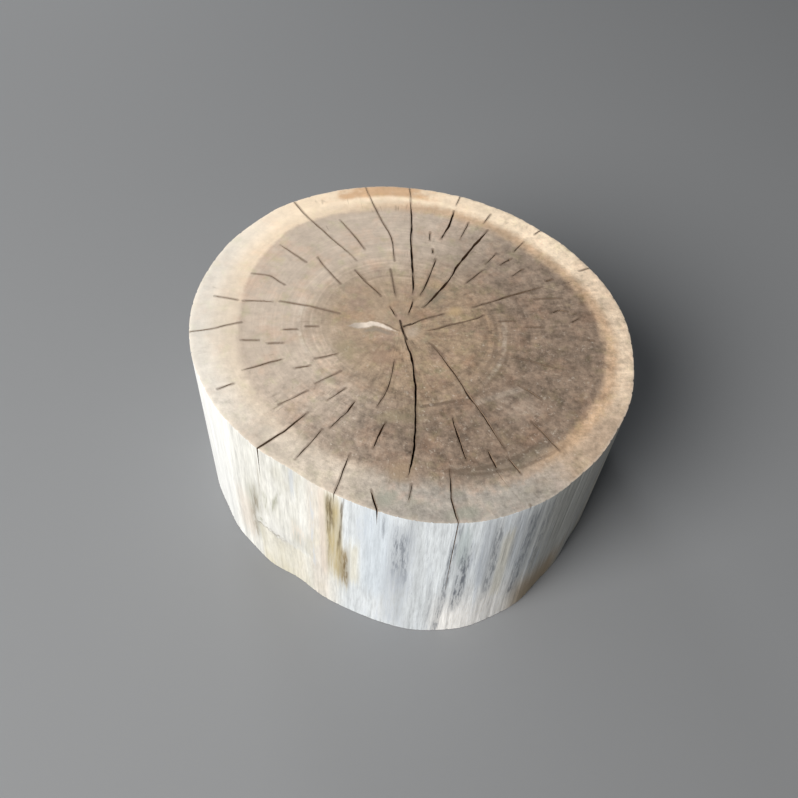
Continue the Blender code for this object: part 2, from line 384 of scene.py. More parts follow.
def draw_foot_checks():
    """Small checks of the foot: spread evenly round it, each with its own length, and clear of its middle."""
    draw = random.Random(FOOT_SEED)
    taken = [read_between(check.bearings, 0.6) for check in FOOT_MAIN_CHECKS]
    checks = []
    for number in range(FOOT_SMALL_CHECKS):
        bearing = (number + draw.random()) * 360 / FOOT_SMALL_CHECKS
        start = draw.uniform(*FOOT_STARTS)
        end = min(start + draw.uniform(*FOOT_LENGTHS), FOOT_REACH)
        drift = draw.uniform(-FOOT_DRIFT, FOOT_DRIFT)
        width = draw.uniform(*FOOT_WIDTHS)
        if min(abs(math.remainder(bearing - other, 360)) for other in taken) > FOOT_CLEARANCE:
            checks.append(Check(start, end, (bearing, bearing + drift), width))
    return checks


def waver(rng, count, grain):
    """A smooth random run of values from about -1 to 1, one for each station."""
    knots = rng.uniform(-1, 1, max(2, round(count / grain) + 1))
    return np.interp(np.linspace(0, len(knots) - 1, count), np.arange(len(knots)), knots)


def eased(values, stations):
    """Values along a check at its stations, with the corner at each given value rounded off."""
    fine = np.interp(np.linspace(0, 1, stations), np.linspace(0, 1, len(values)), values)
    reach = max(1, stations // (3 * len(values)))
    padded = np.pad(fine, reach, mode="reflect", reflect_type="odd")
    return np.convolve(padded, np.full(2 * reach + 1, 1 / (2 * reach + 1)), mode="valid")


def add_cutter(check, pith, face_z, inward, rng):
    length = (check.end - check.start) * MM
    cuts = max(7, round(length / STATION_SPACING))
    bpy.ops.mesh.primitive_cylinder_add(vertices=3, radius=1, depth=1, end_fill_type="NGON")
    cutter = bpy.context.object
    bpy.ops.object.mode_set(mode="EDIT")
    bpy.ops.mesh.select_mode(type="EDGE")
    bpy.ops.mesh.select_all(action="DESELECT")
    bpy.ops.object.mode_set(mode="OBJECT")
    points = cutter.data.vertices
    for edge in cutter.data.edges:
        one, two = edge.vertices
        edge.select = abs(points[one].co.z - points[two].co.z) > 0.5
    bpy.ops.object.mode_set(mode="EDIT")
    bpy.ops.mesh.subdivide(number_cuts=cuts - 1)
    bpy.ops.object.mode_set(mode="OBJECT")

    shares = np.linspace(0, 1, cuts + 1)
    out = (check.start + (check.end - check.start) * shares) * MM
    turn = np.radians(eased(check.bearings, cuts + 1))
    along = np.stack([np.cos(turn), np.sin(turn)], 1)
    across = np.stack([-along[:, 1], along[:, 0]], 1)
    full_depth = DEPTH_PER_WIDTH * check.width * MM
    if check.split:
        fullness = 1 - (1 - shares) ** PINCH_POWER
        bottom = full_depth + (check.split * MM - full_depth) * shares ** SPLIT_POWER
        rim_close = 1 - RIM_CLOSING * shares ** 4
        slant = END_SLANT * (1 - np.clip(shares * cuts, 0, 1))
    else:
        fullness = 1 - np.abs(2 * shares - 1) ** PINCH_POWER
        bottom = full_depth
        rim_close = 1.0
        slant = END_SLANT * (np.clip(1 - shares * cuts, 0, 1) - np.clip(1 - (1 - shares) * cuts, 0, 1))
    depth = np.maximum(PINCH_DEPTH, bottom * fullness)
    gape = GAPE + SLOW_GAPE * waver(rng, cuts + 1, 3.5) + QUICK_GAPE * waver(rng, cuts + 1, 1)
    half = np.maximum(PINCH_WIDTH, check.width * MM * fullness * rim_close * np.clip(gape, *GAPE_LIMITS)) / 2
    fibre_steps = np.tanh(4 * waver(rng, cuts + 1, 5)) * min(1.0, check.width / 1.5)
    offset = WAVER * (fibre_steps + waver(rng, cuts + 1, 3) + 0.5 * waver(rng, cuts + 1, 1))
    lip = half * (1 + CUTTER_RISE / depth)
    line = pith + along * out[:, None]
    for point in points:
        station = round((point.co.z + 0.5) * cuts)
        corner = round(math.atan2(point.co.y, point.co.x) / math.tau * 3 + 0.25) % 3
        if corner == 2:
            place = line[station] + along[station] * slant[station] + across[station] * offset[station] * 0.5
            height = face_z + inward * depth[station]
        else:
            side = (1, -1)[corner]
            place = line[station] + across[station] * (offset[station] + side * lip[station])
            height = face_z - inward * CUTTER_RISE
        point.co = (*place, height)
    bpy.ops.object.mode_set(mode="EDIT")
    bpy.ops.mesh.select_all(action="SELECT")
    bpy.ops.mesh.quads_convert_to_tris()
    bpy.ops.mesh.normals_make_consistent(inside=False)
    bpy.ops.object.mode_set(mode="OBJECT")
    return cutter, line


opened = bpy.data.materials.new("open_check")
sawn = bpy.data.materials.new("sawn_end_grain")
debarked = bpy.data.materials.new("debarked_side")
for material in (sawn, debarked, opened):
    data.materials.append(material)
FACE_SLOT, SIDE_SLOT = 0, 1
slots = np.where(np.abs([face.normal.z for face in data.polygons]) > 0.5, FACE_SLOT, SIDE_SLOT)
data.polygons.foreach_set("material_index", slots)

rng = np.random.default_rng(CUTTER_SEED)
cutters = bpy.data.collections.new("check_cutters")
bpy.context.scene.collection.children.link(cutters)
top_lines, foot_lines = [], []
top_jobs = [(check, PITH, HEIGHT, -1, top_lines) for check in TOP_CHECKS]
foot_jobs = [(check, PITH + LEAN, 0.0, 1, foot_lines) for check in (*FOOT_MAIN_CHECKS, *draw_foot_checks())]
for check, pith, face_z, inward, lines in top_jobs + foot_jobs:
    cutter, line = add_cutter(check, pith, face_z, inward, rng)
    cutter.data.materials.append(opened)
    for home in cutter.users_collection:
        home.objects.unlink(cutter)
    cutters.objects.link(cutter)
    lines.append(line)
opening = block.modifiers.new("drying_checks", "BOOLEAN")
opening.operation = "DIFFERENCE"
opening.solver = "MANIFOLD"
opening.operand_type = "COLLECTION"
opening.material_mode = "TRANSFER"
opening.collection = cutters
bpy.ops.object.select_all(action="DESELECT")
block.select_set(True)
bpy.context.view_layer.objects.active = block
bpy.ops.object.modifier_apply(modifier=opening.name)
for cutter in list(cutters.objects):
    bpy.data.objects.remove(cutter, do_unlink=True)
bpy.data.collections.remove(cutters)
data = block.data
data.shade_smooth()
data.set_sharp_from_angle(angle=SHARP_TURN)

# What the finishes need to know at each point of the wood: its share of the way out from the pith to the
# bark, how far it lies inside the heartwood, and how near the closest check is. Sapwood is the pale outer
# wood that carried sap, and it's widest on the left.
SAPWOOD_WIDTHS = (
    (-180, 46), (-166, 43), (-153, 39), (-138, 34), (-112, 31), (-90, 36), (-76, 38), (-60, 34),
    (-40, 31), (-20, 24), (0, 22), (20, 28), (39, 32), (64, 31), (80, 31), (109, 34), (138, 33), (157, 39),
    (180, 46),
)
FAR_FROM_CHECK = 12 * MM

spots = np.empty(len(data.vertices) * 3)
data.vertices.foreach_get("co", spots)
spots = spots.reshape(-1, 3)
up = np.clip(spots[:, 2] / HEIGHT, 0, 1)
from_pith = spots[:, :2] - (PITH + LEAN * (1 - up)[:, None])
reach = np.hypot(from_pith[:, 0], from_pith[:, 1])
bearing = np.arctan2(from_pith[:, 1], from_pith[:, 0])
rim_top = rim_reach(bearing, 1, PITH)
rim_foot = rim_reach(bearing, 0, PITH + LEAN)
rim = rim_foot + (rim_top - rim_foot) * up
sapwood = np.interp(np.degrees(bearing), *np.array(SAPWOOD_WIDTHS).T) * MM


def nearest_gap(points, lines):
    """Distance from each point to the closest station of the checks, out to a limit."""
    tree = KDTree(sum(len(line) for line in lines))
    for number, place in enumerate(place for line in lines for place in line):
        tree.insert((*place, 0), number)
    tree.balance()
    return np.array([min(tree.find((x, y, 0))[2], FAR_FROM_CHECK) for x, y in points])


gap = np.full(len(spots), FAR_FROM_CHECK)
for here, lines in ((up > 0.75, top_lines), (up < 0.25, foot_lines)):
    gap[here] = nearest_gap(spots[here, :2], lines)
readings = (("growth", reach / rim), ("heartwood", (rim - sapwood - reach) / MM), ("check_gap", gap / MM))
for name, values in readings:
    layer = data.attributes.new(name, "FLOAT", "POINT")
    layer.data.foreach_set("value", values)


# The sawn ends. End grain of a hardwood that stood outdoors: brown heartwood ringed by cream sapwood, gone
# grey on the left and still brown on the right, with growth rings, fine rays, saw lines across the grain,
# and pale torn fibres. The two faces share one finish, and the foot, which lies dry, is less weathered.
NOISE_SPREAD = 2.6
WOOD_GLOSS = 0.25


class Tone:
    """A value on its way through a finish's nodes. Arithmetic on it adds the nodes that work it out."""

    def __init__(self, tree, socket):
        self.tree = tree
        self.socket = socket

    def node(self, kind, inputs=(), output=0, **settings):
        """Adds any other node, with its inputs by name or number, and returns one of its outputs."""
        made = self.tree.nodes.new(kind)
        for name, value in settings.items():
            setattr(made, name, value)
        for name, value in dict(inputs).items():
            if isinstance(value, Tone):
                self.tree.links.new(value.socket, made.inputs[name])
            else:
                made.inputs[name].default_value = value
        return Tone(self.tree, made.outputs[output])

    def maths(self, operation, *values):
        return self.node("ShaderNodeMath", enumerate(values), operation=operation)

    def __add__(self, other):
        return self.maths("ADD", self, other)

    __radd__ = __add__

    def __sub__(self, other):
        return self.maths("SUBTRACT", self, other)

    def __rsub__(self, other):
        return self.maths("SUBTRACT", other, self)

    def __mul__(self, other):
        return self.maths("MULTIPLY", self, other)

    __rmul__ = __mul__

    def __truediv__(self, other):
        return self.maths("DIVIDE", self, other)

    def __neg__(self):
        return self.maths("MULTIPLY", self, -1.0)

    def root(self):
        return self.maths("SQRT", self)

    def size(self):
        return self.maths("ABSOLUTE", self)

    def least(self, other):
        return self.maths("MINIMUM", self, other)

    def most(self, other):
        return self.maths("MAXIMUM", self, other)

    def rise(self, low, high):
        """Smooth step: 0 up to low and 1 past high, or the other way round where high is the smaller."""
        settings = {"Value": self, "From Min": low, "From Max": high, "To Min": 0.0, "To Max": 1.0}
        return self.node("ShaderNodeMapRange", settings, interpolation_type="SMOOTHSTEP")

    def vector(self, x, y, z):
        return self.node("ShaderNodeCombineXYZ", {0: x, 1: y, 2: z})

    def scaled(self, amount):
        """A vector or colour times one value."""
        return self.node("ShaderNodeVectorMath", {0: self, "Scale": amount}, operation="SCALE")

    def grain(self, scale, detail=2.0, roughness=0.5, distortion=0.0):
        """Noise about 0, from roughly -1 to 1, where this tone is the place in space."""
        inputs = {"Vector": self, "Scale": scale, "Detail": detail, "Roughness": roughness}
        inputs["Distortion"] = distortion
        return (self.node("ShaderNodeTexNoise", inputs) - 0.5) * NOISE_SPREAD

    def along(self, scale, detail=2.0, roughness=0.5):
        """Noise about 0 along one value."""
        inputs = {"W": self, "Scale": scale, "Detail": detail, "Roughness": roughness}
        return (self.node("ShaderNodeTexNoise", inputs, noise_dimensions="1D") - 0.5) * NOISE_SPREAD

    def between(self, none, full):
        """A colour that goes from one to another as this tone goes from 0 to 1."""
        return self.node("ShaderNodeMix", {0: self, 6: none, 7: full}, 2, data_type="RGBA", clamp_factor=True)

    def into(self, colour, share, **settings):
        """This colour blended into another one by a share from 0 to 1."""
        inputs = {0: share, 6: self, 7: colour}
        return self.node("ShaderNodeMix", inputs, 2, data_type="RGBA", clamp_factor=True, **settings)

    def tinted(self, colour, share):
        """This colour multiplied by another one, by a share from 0 to 1."""
        return self.into(colour, share, blend_type="MULTIPLY")

    def curve(self, points):
        """A smooth curve through a few points, for values from 0 to 1."""
        made = self.node("ShaderNodeFloatCurve", {"Value": self})
        curve = made.socket.node.mapping.curves[0]
        curve.points[0].location = points[0]
        curve.points[-1].location = points[-1]
        for value, height in points[1:-1]:
            curve.points.new(value, height)
        made.socket.node.mapping.update()
        return made


def start_finish(material):
    """A finish's first tones: a spare one to call nodes on, the place in mm, and the place's x, y and z."""
    material.use_nodes = True
    tree = material.node_tree
    tree.nodes.clear()
    spare = Tone(tree, None)
    place = spare.node("ShaderNodeTexCoord", output="Object").scaled(1 / MM)
    parts = spare.node("ShaderNodeSeparateXYZ", {0: place}).socket.node
    return spare, place, [Tone(tree, socket) for socket in parts.outputs]


def from_trunk_line(x, y, z, middle):
    """How far a place lies east and north of the leaning trunk's line, which passes a middle at the top."""
    foot_share = 1.0 - z / (HEIGHT / MM)
    east_off = x - float(middle[0] / MM) - foot_share * float(LEAN[0] / MM)
    north_off = y - float(middle[1] / MM) - foot_share * float(LEAN[1] / MM)
    return east_off, north_off


def end_finish(spare, colour, roughness, height, relief):
    """The wood's shader: its colour, its roughness, and a fine relief in mm."""
    bump = spare.node("ShaderNodeBump", {"Height": height, "Distance": relief * MM, "Strength": 1.0})
    inputs = {"Base Color": colour, "Roughness": roughness, "Normal": bump, "Specular IOR Level": WOOD_GLOSS}
    shader = spare.node("ShaderNodeBsdfPrincipled", inputs)
    surface = spare.tree.nodes.new("ShaderNodeOutputMaterial")
    spare.tree.links.new(shader.socket, surface.inputs["Surface"])


HEART_GREY = (0.550, 0.460, 0.375, 1)
HEART_BROWN = (0.240, 0.177, 0.131, 1)
HEART_RUST = (0.305, 0.216, 0.155, 1)
CORE_TAN = (0.365, 0.266, 0.178, 1)
CORE_RED = (0.330, 0.228, 0.164, 1)
CORE_OLIVE = (0.315, 0.262, 0.168, 1)
SAP_CREAM = (0.700, 0.608, 0.500, 1)
SAP_WHITE = (0.745, 0.705, 0.635, 1)
SAP_TAN = (0.930, 0.765, 0.575, 1)
SAP_HONEY = (0.760, 0.605, 0.450, 1)
SAP_AMBER = (0.460, 0.345, 0.250, 1)
SAP_DULL = (0.560, 0.485, 0.400, 1)
SAP_FRONT = (0.365, 0.330, 0.288, 1)
SAP_ROSE = (0.430, 0.340, 0.285, 1)
BORDER_TAN = (0.530, 0.362, 0.230, 1)
BORDER_PEACH = (0.760, 0.640, 0.490, 1)
RIM_ORANGE = (0.660, 0.440, 0.270, 1)
OCHRE_SPOT = (0.560, 0.400, 0.220, 1)
GREEN_STAIN = (0.335, 0.335, 0.275, 1)
FIBRE_PALE = (0.690, 0.615, 0.520, 1)
LINE_DARK = (0.110, 0.074, 0.050, 1)
MOULD_SHADE = (0.205, 0.180, 0.140, 1)
CRACK_DARK = (0.042, 0.026, 0.016, 1)
WEDGE_PALE = (0.780, 0.675, 0.570, 1)
WEDGE_DULL = (0.470, 0.408, 0.350, 1)
WEDGE_SHADE = (0.270, 0.230, 0.185, 1)
ROSE_TINT = (1.05, 0.97, 0.93, 1)
MOSS_TINT = (0.93, 0.98, 0.88, 1)

spare, place, (x, y, z) = start_finish(sawn)
dx, dy = from_trunk_line(x, y, z, PITH)
out = (dx * dx + dy * dy).root() + 0.01
east, north = dx / out, dy / out
growth = spare.node("ShaderNodeAttribute", output="Fac", attribute_name="growth")
inside = spare.node("ShaderNodeAttribute", output="Fac", attribute_name="heartwood")
check_gap = spare.node("ShaderNodeAttribute", output="Fac", attribute_name="check_gap")
on_top = z.rise(100.0, 120.0)


def toward(degrees):
    """Cosine of the turn from a bearing about the pith."""
    return east * math.cos(math.radians(degrees)) + north * math.sin(math.radians(degrees))


def blot(bearing, reach, half_round, half_out):
    """A soft ragged patch from 0 to 1: its bearing and reach from the pith, and its half sizes in mm."""
    cos, sin = math.cos(math.radians(bearing)), math.sin(math.radians(bearing))
    off_x, off_y = dx - reach * cos, dy - reach * sin
    along = (off_x * cos + off_y * sin) / half_out
    across = (off_y * cos - off_x * sin) / half_round
    return ((across * across + along * along).root() + patch * 0.35 + speckle * 0.12).rise(1.2, 0.3) * on_top


def ring_arc(bearing, share, half_turn, half_width, slope=0.0):
    """A stretch of one growth ring from 0 to 1: its bearing, its share of the way to the bark, and half its
    turn and width in mm. A slope lets it run outwards as it turns."""
    near = toward(bearing).rise(math.cos(math.radians(half_turn)), math.cos(math.radians(half_turn * 0.45)))
    aside = toward(bearing + 90)
    off_ring = (growth - aside * slope - share) * (TOP_RADIUS / MM) + patch * 1.6
    return off_ring.size().rise(half_width, half_width * 0.3) * near * on_top


def stroke(x_from, y_from, x_to, y_to, half_width):
    """A short dark line from 0 to 1 between two places in mm from the pith."""
    length = math.hypot(x_to - x_from, y_to - y_from)
    step_x, step_y = (x_to - x_from) / length, (y_to - y_from) / length
    run = ((dx - x_from) * step_x + (dy - y_from) * step_y).most(0.0).least(length)
    off_x, off_y = dx - x_from - run * step_x, dy - y_from - run * step_y
    return (off_x * off_x + off_y * off_y).root().rise(half_width, half_width * 0.4) * on_top


cloud = place.grain(1 / 42, 3)
patch = place.grain(1 / 15, 3, 0.62)
speckle = place.grain(1 / 5.6, 3, 0.66)
grit = place.grain(1 / 2.3, 2, 0.6)
wander = growth + cloud * 0.006 + place.grain(1 / 9, 2) * 0.0028
rings = wander.along(15.0, 4, 0.66)
fine_rings = wander.along(64.0, 3, 0.65)
rays = spare.vector(east * 34.0, north * 34.0, growth * 8.0).grain(1.0, 3, 0.65)
cells = spare.vector(east * 15.0, north * 15.0, growth * 19.0).grain(1.0, 3, 0.65)
weather = (-toward(-29) * (out / 70.0).least(1.0) + cloud * 0.16).rise(-0.85, 0.75)
weather = weather * (0.4 + on_top * 0.6) + 0.12 * (1.0 - on_top)

# Heartwood: brown or grey, with a warm mottled core
heart = weather.between(HEART_BROWN, HEART_GREY)
core = (growth + cloud * 0.06 + patch * 0.03).rise(0.56, 0.26)
core_tone = place.grain(1 / 19, 3).rise(0.05, 0.6).between(CORE_TAN, CORE_RED)
core_tone = core_tone.into(CORE_OLIVE, place.grain(1 / 13, 3, 0.6, 0.3).rise(0.10, 0.55) * 0.8)
rusty = place.grain(1 / 31, 3, 0.6).rise(0.05, 0.6) * toward(-10).rise(-0.2, 0.7)
heart = heart.into(HEART_RUST, rusty * 0.35)
heart = heart.into(core_tone, core * 0.8)

# Sapwood: cream on the left, tan at the back and the right, and stained dull in front
sap = (toward(85) + cloud * 0.12).rise(-0.2, 0.75).between(SAP_CREAM, SAP_TAN)
sap = sap.into(SAP_WHITE, growth.rise(0.84, 0.97) * toward(-175).rise(0.50, 0.96) * 0.8)
sap = sap.into(SAP_HONEY, (toward(-5) + patch * 0.05).rise(0.72, 0.93))
sap = sap.into(SAP_AMBER, (toward(-42) + patch * 0.04).rise(0.84, 0.985) * on_top)
sap = sap.into(SAP_DULL, (toward(-95) + patch * 0.05).rise(0.50, 0.97) * on_top)
front = (toward(-70) + patch * 0.04).rise(0.86, 0.975)
sap = sap.into(SAP_FRONT, front * on_top)
sap = sap.into(SAP_ROSE, patch.rise(-0.1, 0.6) * front * on_top * 0.7)
at_back = (toward(100) + patch * 0.04).rise(0.94, 0.99)
sap = sap.into(RIM_ORANGE, (growth + patch * 0.01).rise(0.90, 0.935) * at_back)
border_soft = toward(20).rise(-0.4, 0.6)
edge = inside + place.grain(1 / 6, 3, 0.6) * (1.0 + border_soft * 2.0) + cells * 2.2 + patch * front * 7.0
half_border = 2.6 + border_soft * 5.4 + front * 5.5 + toward(-120).rise(0.6, 0.95) * 3.5
in_heart = (edge / half_border).rise(-1.0, 1.0)
sap = sap.into(BORDER_PEACH, (edge + 6.0).size().rise(11.0, 1.0) * 0.3 * toward(150).rise(-0.2, 0.5))
band = (edge + 2.0).size().rise(11.0, 0.5) * (0.10 + border_soft * 0.66)
tone = sap.into(heart, in_heart).into(BORDER_TAN, band * (1.0 - front * 0.6))

# Rings, rays, mottling and saw lines lighten and darken the wood
ring_show = 0.06 + (patch + cloud).rise(-0.7, 1.0) * 0.14 + (growth - 0.42).size().rise(0.16, 0.02) * 0.12
kerf_place = spare.vector((x * math.cos(KERF_TURN) + y * math.sin(KERF_TURN)) / 34.0,
                          (y * math.cos(KERF_TURN) - x * math.sin(KERF_TURN)) / 2.6, 0.0)
kerf_lines = kerf_place.grain(1.0, 3, 0.7)
kerf_show = 0.02 + (toward(-20) * 0.5 + patch + 0.1).rise(-0.1, 1.0) * 0.20
in_sap = 1.0 - in_heart
to_front = (toward(-35) + cloud * 0.5).rise(-0.9, 0.8)
rough_cut = (0.25 + to_front * 0.92 + core * (0.28 - to_front * 0.48)) * (1.0 - in_sap * 0.30)
shade = 1.0 + (rings + fine_rings * 0.45) * ring_show * (1.0 - in_sap * 0.62)
shade = shade + cloud * (0.09 + to_front * 0.12)
shade = shade + (patch * 0.42 + cells * 0.28 + rays * 0.13 + speckle * 0.48 + grit * 0.12) * rough_cut
tone = tone.scaled(shade + kerf_lines * kerf_show)
tinting = on_top * (1.0 - in_sap * 0.5)
tone = tone.tinted(ROSE_TINT, place.grain(1 / 24, 3, 0.65).rise(-0.1, 0.6) * tinting)
tone = tone.tinted(MOSS_TINT, place.grain(1 / 17, 3, 0.65).rise(0.0, 0.6) * tinting)

# Single rings that weathered darker or lighter than the rest
broken = (rays * 0.5 + speckle * 0.6 + patch * 0.5).rise(-0.55, 0.65)
# Each row: its colour, ring_arc's bearing, share, half turn and half width, how much of it is even and how
# much patchy, and its slope
RING_MARKS = (
    (LINE_DARK, -170, 0.449, 22, 3.8, 0.0, 0.45),
    (FIBRE_PALE, -172, 0.487, 24, 2.6, 0.0, 0.60),
    (LINE_DARK, -30, 0.462, 36, 2.8, 0.147, 0.273),
    (LINE_DARK, -4, 0.412, 34, 2.6, 0.0, 0.50),
    (FIBRE_PALE, -12, 0.449, 30, 3.0, 0.0, 0.30),
    (LINE_DARK, 0, 0.361, 34, 2.6, 0.0, 0.45),
    (RIM_ORANGE, 0, 0.387, 30, 3.4, 0.0, 0.22),
    (MOULD_SHADE, -54, 0.800, 20, 9.0, 0.24, 0.24, 0.10),
    (LINE_DARK, -57, 0.780, 22, 2.6, 0.264, 0.396, 0.06),
    (LINE_DARK, -55, 0.822, 20, 2.2, 0.24, 0.36, 0.17),
    (LINE_DARK, 100, 0.335, 36, 2.2, 0.0, 0.45),
)
for colour, bearing, share, half_turn, half_width, even, patchy, *slope in RING_MARKS:
    arc = ring_arc(bearing, share, half_turn, half_width, *slope)
    tone = tone.into(colour, arc * (broken * patchy + even))

# A stained line that crosses the rings in front of the core
stained = 0.4 + broken * 0.6
stained_steps = (
    (CORE_OLIVE, stroke(-10.0, -106.0, 22.0, -90.0, 8.0), 0.55),
    (LINE_DARK, stroke(24.0, -89.0, 60.0, -78.0, 2.3), 0.75),
    (LINE_DARK, stroke(60.0, -78.0, 108.0, -52.0, 2.8), 0.34),
    (FIBRE_PALE, stroke(72.0, -80.0, 112.0, -60.0, 4.0), 0.22),
)
for colour, step, share in stained_steps:
    tone = tone.into(colour, step * stained * share)

# Hairline checks too fine to cut, and dark pores
hair = spare.vector(east * 13.0, north * 13.0, growth * 1.6).grain(1.0, 1, 0.5).size().rise(0.060, 0.010)
hair_show = spare.vector(east * 8.0, north * 8.0, growth * 9.0).grain(1.0, 2).rise(0.2, 0.7)
hair_show = hair_show * growth.rise(0.12, 0.3)
tone = tone.into(LINE_DARK, hair * hair_show * 0.42)
pores = place.grain(1 / 2.2, 2, 0.6).rise(0.42, 0.90) * (0.12 + to_front * 0.26 - in_sap * 0.10)
tone = tone.into(LINE_DARK, pores)

# Stains, and patches of the core
# Each row: its colour, blot's four values, and how much of it is even and how much patchy
STAINS = (
    # Near the front rim
    (GREEN_STAIN, -89, 181, 12, 11, 0.75, 0.0),
    (GREEN_STAIN, -71, 200, 17, 7, 0.65, 0.0),
    (GREEN_STAIN, -112, 188, 20, 5, 0.45, 0.0),
    (CORE_TAN, -86, 156, 15, 12, 0.7, 0.0),
    (HEART_GREY, -36, 133, 20, 22, 0.10, 0.30),
    (HEART_GREY, -33, 150, 10, 12, 0.0, 0.30),
    (CORE_OLIVE, -82, 104, 20, 6, 0.35, 0.0),
    # Grey and ochre to the right of the pith, red and olive to its left
    (MOULD_SHADE, 55, 49, 13, 17, 0.60, 0.0),
    (OCHRE_SPOT, 25, 54, 7, 10, 0.50, 0.0),
    (CORE_RED, -110, 43, 15, 11, 0.75, 0.0),
    (CORE_OLIVE, -145, 60, 13, 12, 0.60, 0.0),
    (HEART_GREY, -30, 12, 9, 8, 0.45, 0.0),
    (CORE_RED, 80, 7, 4, 5, 0.45, 0.0),
)
for colour, bearing, reach, half_round, half_out, even, patchy in STAINS:
    spot = blot(bearing, reach, half_round, half_out)
    tone = tone.into(colour, spot * (broken * patchy + even))

# Pale torn fibres, thickest in the front half
flecks = (place.grain(1 / 4.0, 3, 0.75) + rays * 0.25).rise(0.16, 0.80)
fleck_show = 0.10 + (patch * 0.9 - dy * 0.008 + dx * 0.002).rise(-0.8, 1.2) * 0.90
dashes = kerf_place.grain(2.6, 3, 0.7).rise(0.55, 1.0) * toward(-30).rise(-0.2, 0.6)
torn = (flecks * fleck_show * 0.66).most(dashes * 0.4) * (0.4 + on_top * 0.6) * (1.0 - in_sap * 0.4)
tone = tone.into(FIBRE_PALE, torn)
lip_tint = check_gap.rise(2.4, 0.5) * 0.58
tone = tone.into(LINE_DARK, lip_tint)
rim_fibre = (growth + patch * 0.002 + grit * 0.002).rise(0.988, 0.998) * (0.34 - front * 0.18)
tone = tone.into(FIBRE_PALE, rim_fibre)

# The wedge of bare pale wood beside the pith, with a painted shadow below it and a painted shadow line along
# its upper edge, and the dark crack's start at its tip
WEDGE_LENGTH = 60.0
WEDGE_SPAN = 20.0
WEDGE_FLOOR = -12.0
WEDGE_TOP = (
    (0.0, 0.22), (0.04, 0.24), (0.23, 0.535), (0.46, 0.735), (0.58, 0.605), (0.73, 0.55), (0.83, 0.375),
    (1.0, 0.30),
)
WEDGE_LOW = (
    (0.0, 0.18), (0.04, 0.19), (0.22, 0.27), (0.40, 0.385), (0.49, 0.34), (0.56, 0.235), (0.65, 0.18),
    (0.83, 0.25), (1.0, 0.28),
)
reach_left = dx / -WEDGE_LENGTH
wedge_top = reach_left.curve(WEDGE_TOP) * WEDGE_SPAN + WEDGE_FLOOR
wedge_low = reach_left.curve(WEDGE_LOW) * WEDGE_SPAN + WEDGE_FLOOR
ragged = speckle * 1.1 + patch * 0.8
wedge = (wedge_top - dy + ragged).rise(-0.3, 1.4) * (dy - wedge_low + ragged).rise(-0.4, 2.2)
wedge = wedge * reach_left.rise(0.01, 0.06) * reach_left.rise(0.88, 0.80) * on_top
# Painted shadow in a band below the wedge
shaded = reach_left.rise(0.06, 0.24) * reach_left.rise(0.66, 0.50) * on_top
tone = tone.into(WEDGE_SHADE, (dy - wedge_low + 2.6 + ragged).size().rise(3.6, 0.6) * shaded * 0.7)
# Painted shadow: a dark line along the upper edge of the wedge's end nearest the pith
painted_shadow_line = reach_left.rise(-0.02, 0.06) * reach_left.rise(0.36, 0.22) * on_top
tone = tone.into(LINE_DARK, (dy - wedge_top - 1.3).size().rise(1.3, 0.2) * painted_shadow_line * 0.5)
bright = reach_left.rise(0.74, 0.52) * (dy - wedge_low + speckle).rise(-1.0, 3.2)
wedge_tone = tone.into(WEDGE_DULL, 0.78).into(WEDGE_PALE, bright).scaled(1.0 + speckle * 0.18 + patch * 0.14)
tone = tone.into(wedge_tone, wedge)
PITH_CRACKS = ((-2.0, 6.4, 1.6, -6.4, 1.5), (1.6, -6.4, 6.0, -15.5, 1.4), (0.0, -2.4, 8.0, 3.6, 1.2))
for crack in PITH_CRACKS:
    tone = tone.into(CRACK_DARK, stroke(*crack) * 0.9)

height = fine_rings * 0.2 + rays * 0.2 + cells * 0.2 + speckle * 0.6 + grit * 0.2 + kerf_lines * 0.2
height = (height + torn * 0.5 - hair * hair_show * 0.8 - pores) * (0.45 + to_front * 0.65)
end_finish(spare, tone, 0.84 + speckle * 0.04, height, 0.3)

# The inside of a check: raw brown wood, with a faint painted shade that makes it darker the deeper it goes.
CHECK_LIP = (0.310, 0.215, 0.145, 1)
CHECK_DEEP_SHADE = (0.310, 0.210, 0.140, 1)
spare, place, (x, y, z) = start_finish(opened)
buried = (HEIGHT / MM - z).least(z)
torn = spare.node("ShaderNodeMapping", {0: place, "Scale": (1.0, 1.0, 0.12)}).grain(1 / 1.4, 3, 0.6)
# Painted shade: the colour darkens slightly from the lip towards the bottom of the check.
gap_tone = buried.rise(0.0, 7.0).between(CHECK_LIP, CHECK_DEEP_SHADE)
end_finish(spare, gap_tone.scaled(1.0 + torn * 0.25), 0.92, torn, 0.3)

# The debarked side. Bark was peeled off in strips, which left the smooth cambium face of the sapwood: ivory
# on the left, bluish white in front, with grey streaks that mould drew down the grain, and a knot's swirl.
SIDE_IVORY = (0.755, 0.745, 0.695, 1)
SIDE_WHITE = (0.690, 0.722, 0.738, 1)
SIDE_CREAM = (0.940, 0.910, 0.865, 1)
SIDE_WARM_SHADE = (0.80, 0.76, 0.69, 1)
SIDE_PALE = (0.850, 0.855, 0.835, 1)
SIDE_PEACH = (0.740, 0.630, 0.525, 1)
SIDE_YELLOW = (0.735, 0.665, 0.480, 1)
SIDE_TAN = (0.450, 0.340, 0.215, 1)
MOULD_MIST = (0.430, 0.420, 0.360, 1)
MOULD_PALE = (0.520, 0.555, 0.600, 1)
MOULD_BLUE = (0.560, 0.625, 0.690, 1)
MOULD_GREEN = (0.470, 0.535, 0.525, 1)
MOULD_DARK = (0.150, 0.165, 0.190, 1)
MOULD_BROWN = (0.270, 0.235, 0.180, 1)
MOULD_OLIVE = (0.330, 0.330, 0.250, 1)
OCHRE = (0.500, 0.410, 0.225, 1)
STRAND = (0.120, 0.085, 0.040, 1)
STRAND_BROWN = (0.240, 0.165, 0.070, 1)
SWIRL_PALE = (0.80, 0.79, 0.75, 1)

